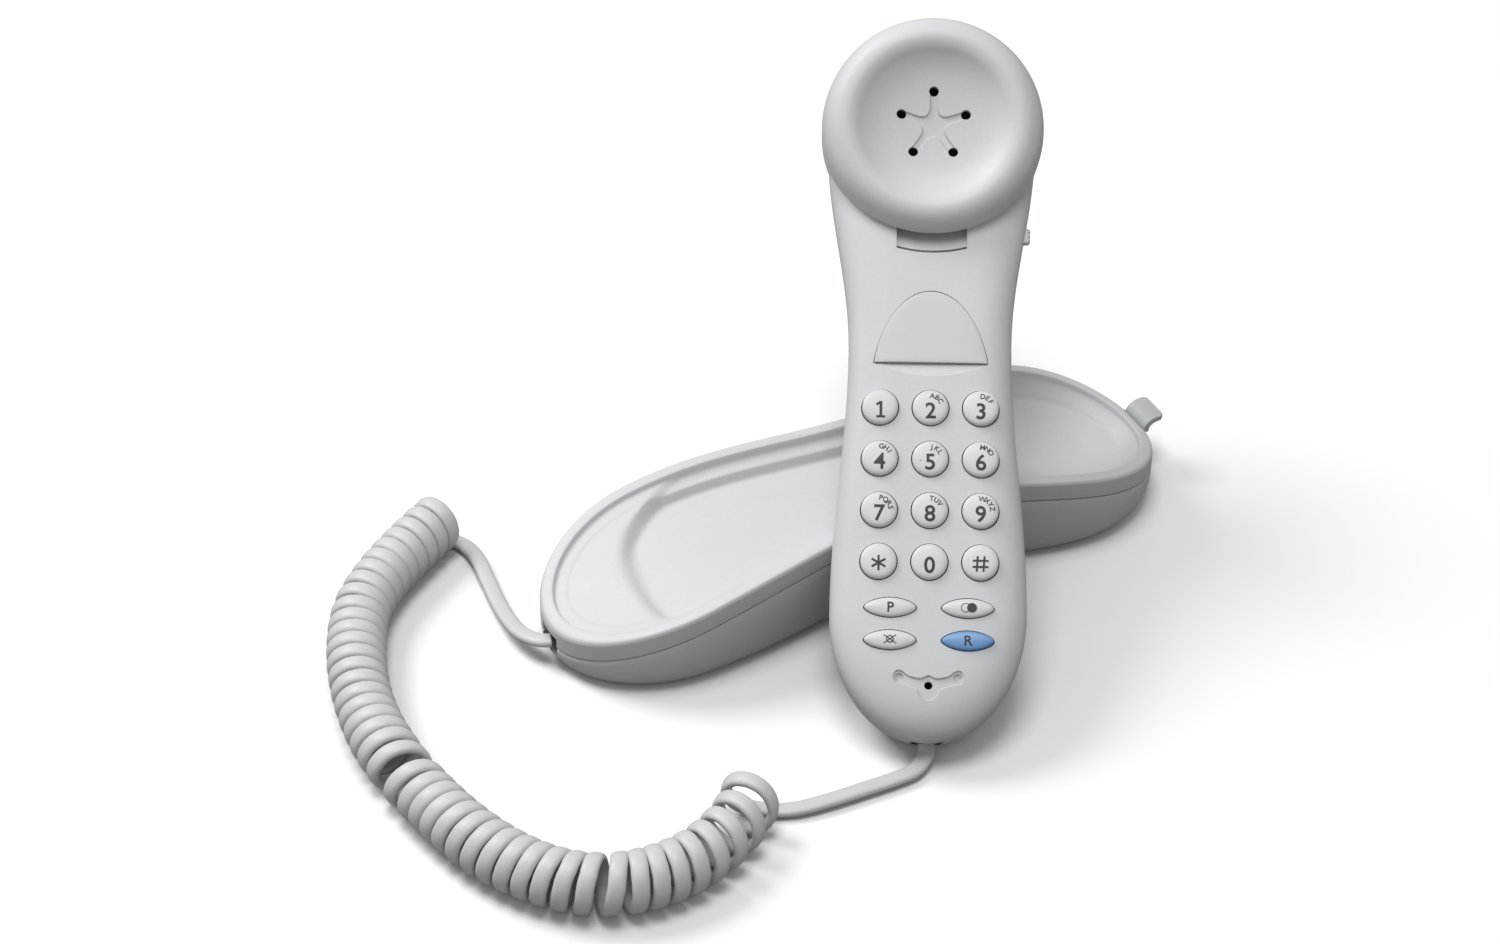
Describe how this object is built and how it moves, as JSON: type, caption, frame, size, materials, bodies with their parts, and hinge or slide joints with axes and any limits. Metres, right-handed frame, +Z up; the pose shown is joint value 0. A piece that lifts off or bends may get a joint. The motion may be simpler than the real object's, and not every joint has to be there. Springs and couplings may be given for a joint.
{
  "type": "slimline wall telephone",
  "caption": "Slimline wall telephone with a cradle base, a keypad handset leaning on it and a curly handset cord.",
  "frame": {"origin": "middle of the footprint of base and handset together, cord left out, on the surface the phone stands on", "axes": "+X along the base towards its parking hook, +Z up, +Y away from the handset's foot"},
  "size_m": [0.2614, 0.1695, 0.1392],
  "materials": {
    "shell_plastic": "fine matt texture",
    "hook_plastic": "satin",
    "key_plastic": "satin",
    "blue_key_plastic": "satin",
    "circuit_board": "solder mask",
    "dark_plastic": "matt",
    "screw_steel": "plain",
    "foot_rubber": "matt",
    "keypad_rubber": "matt",
    "paper_card": "matt",
    "clear_plastic": "clear",
    "cord_jacket": "soft satin"
  },
  "bodies": {
    "base": {"base_tray": "shell_plastic", "base_cradle": "shell_plastic", "park_hook": "hook_plastic", "handset_retainer": "shell_plastic", "base_circuit_board": "circuit_board", "ringer_sounder": "dark_plastic", "line_socket": "dark_plastic", "base_cord_socket": "dark_plastic", "base_screw_1": "screw_steel", "base_screw_2": "screw_steel", "base_foot_1": "foot_rubber", "base_foot_2": "foot_rubber", "base_foot_3": "foot_rubber", "base_foot_4": "foot_rubber", "cord_plug_base": "clear_plastic", "cord_tail_base": "cord_jacket", "cord_curl": "cord_jacket", "cord_tail_handset": "cord_jacket"},
    "handset": {"handset_rear_shell": "shell_plastic", "handset_front_shell": "shell_plastic", "handset_circuit_board": "circuit_board", "keypad_membrane": "keypad_rubber", "receiver_capsule": "dark_plastic", "microphone_capsule": "dark_plastic", "handset_cord_socket": "dark_plastic", "handset_screw_1": "screw_steel", "handset_screw_2": "screw_steel", "name_card": "paper_card", "cord_plug_handset": "clear_plastic"},
    "hook_switch": {"hook_switch_plunger": "shell_plastic"},
    "ringer_switch": {"ringer_switch_knob": "dark_plastic"},
    "volume_control": {"volume_slider": "shell_plastic"},
    "card_window": {"name_card_window": "clear_plastic"},
    "key_1_body": {"key_1": "key_plastic"},
    "key_2_body": {"key_2": "key_plastic"},
    "key_3_body": {"key_3": "key_plastic"},
    "key_4_body": {"key_4": "key_plastic"},
    "key_5_body": {"key_5": "key_plastic"},
    "key_6_body": {"key_6": "key_plastic"},
    "key_7_body": {"key_7": "key_plastic"},
    "key_8_body": {"key_8": "key_plastic"},
    "key_9_body": {"key_9": "key_plastic"},
    "key_star_body": {"key_star": "key_plastic"},
    "key_0_body": {"key_0": "key_plastic"},
    "key_hash_body": {"key_hash": "key_plastic"},
    "key_pause_body": {"key_pause": "key_plastic"},
    "key_memory_body": {"key_memory": "key_plastic"},
    "key_mute_body": {"key_mute": "key_plastic"},
    "key_recall_body": {"key_recall": "blue_key_plastic"}
  },
  "joints": [
    {"name": "handset_lift", "type": "slide", "parent": "base", "child": "handset", "axis": [0, 0, 1], "range_m": [0, 0.06]},
    {"name": "hook_switch_press", "type": "slide", "parent": "base", "child": "hook_switch", "axis": [0, 0, -1], "range_m": [0, 0.003], "stiffness_N_per_m": 150, "springref_m": -0.002},
    {"name": "ringer_switch_slide", "type": "slide", "parent": "base", "child": "ringer_switch", "axis": [1, 0, 0], "range_m": [0, 0.004]},
    {"name": "volume_slide", "type": "slide", "parent": "handset", "child": "volume_control", "axis": [0.4013, 0.721, 0.565], "range_m": [0, 0.003]},
    {"name": "card_window_lift", "type": "slide", "parent": "handset", "child": "card_window", "axis": [-0.2748, -0.4937, 0.8251], "range_m": [0, 0.006]},
    {"name": "key_1_press", "type": "slide", "parent": "handset", "child": "key_1_body", "axis": [0.2748, 0.4937, -0.8251], "range_m": [0, 0.0012], "stiffness_N_per_m": 400, "springref_m": -0.0006},
    {"name": "key_2_press", "type": "slide", "parent": "handset", "child": "key_2_body", "axis": [0.2748, 0.4937, -0.8251], "range_m": [0, 0.0012], "stiffness_N_per_m": 400, "springref_m": -0.0006},
    {"name": "key_3_press", "type": "slide", "parent": "handset", "child": "key_3_body", "axis": [0.2748, 0.4937, -0.8251], "range_m": [0, 0.0012], "stiffness_N_per_m": 400, "springref_m": -0.0006},
    {"name": "key_4_press", "type": "slide", "parent": "handset", "child": "key_4_body", "axis": [0.2748, 0.4937, -0.8251], "range_m": [0, 0.0012], "stiffness_N_per_m": 400, "springref_m": -0.0006},
    {"name": "key_5_press", "type": "slide", "parent": "handset", "child": "key_5_body", "axis": [0.2748, 0.4937, -0.8251], "range_m": [0, 0.0012], "stiffness_N_per_m": 400, "springref_m": -0.0006},
    {"name": "key_6_press", "type": "slide", "parent": "handset", "child": "key_6_body", "axis": [0.2748, 0.4937, -0.8251], "range_m": [0, 0.0012], "stiffness_N_per_m": 400, "springref_m": -0.0006},
    {"name": "key_7_press", "type": "slide", "parent": "handset", "child": "key_7_body", "axis": [0.2748, 0.4937, -0.8251], "range_m": [0, 0.0012], "stiffness_N_per_m": 400, "springref_m": -0.0006},
    {"name": "key_8_press", "type": "slide", "parent": "handset", "child": "key_8_body", "axis": [0.2748, 0.4937, -0.8251], "range_m": [0, 0.0012], "stiffness_N_per_m": 400, "springref_m": -0.0006},
    {"name": "key_9_press", "type": "slide", "parent": "handset", "child": "key_9_body", "axis": [0.2748, 0.4937, -0.8251], "range_m": [0, 0.0012], "stiffness_N_per_m": 400, "springref_m": -0.0006},
    {"name": "key_star_press", "type": "slide", "parent": "handset", "child": "key_star_body", "axis": [0.2748, 0.4937, -0.8251], "range_m": [0, 0.0012], "stiffness_N_per_m": 400, "springref_m": -0.0006},
    {"name": "key_0_press", "type": "slide", "parent": "handset", "child": "key_0_body", "axis": [0.2748, 0.4937, -0.8251], "range_m": [0, 0.0012], "stiffness_N_per_m": 400, "springref_m": -0.0006},
    {"name": "key_hash_press", "type": "slide", "parent": "handset", "child": "key_hash_body", "axis": [0.2748, 0.4937, -0.8251], "range_m": [0, 0.0012], "stiffness_N_per_m": 400, "springref_m": -0.0006},
    {"name": "key_pause_press", "type": "slide", "parent": "handset", "child": "key_pause_body", "axis": [0.2748, 0.4937, -0.8251], "range_m": [0, 0.0012], "stiffness_N_per_m": 400, "springref_m": -0.0006},
    {"name": "key_memory_press", "type": "slide", "parent": "handset", "child": "key_memory_body", "axis": [0.2748, 0.4937, -0.8251], "range_m": [0, 0.0012], "stiffness_N_per_m": 400, "springref_m": -0.0006},
    {"name": "key_mute_press", "type": "slide", "parent": "handset", "child": "key_mute_body", "axis": [0.2748, 0.4937, -0.8251], "range_m": [0, 0.0012], "stiffness_N_per_m": 400, "springref_m": -0.0006},
    {"name": "key_recall_press", "type": "slide", "parent": "handset", "child": "key_recall_body", "axis": [0.2748, 0.4937, -0.8251], "range_m": [0, 0.0012], "stiffness_N_per_m": 400, "springref_m": -0.0006}
  ]
}
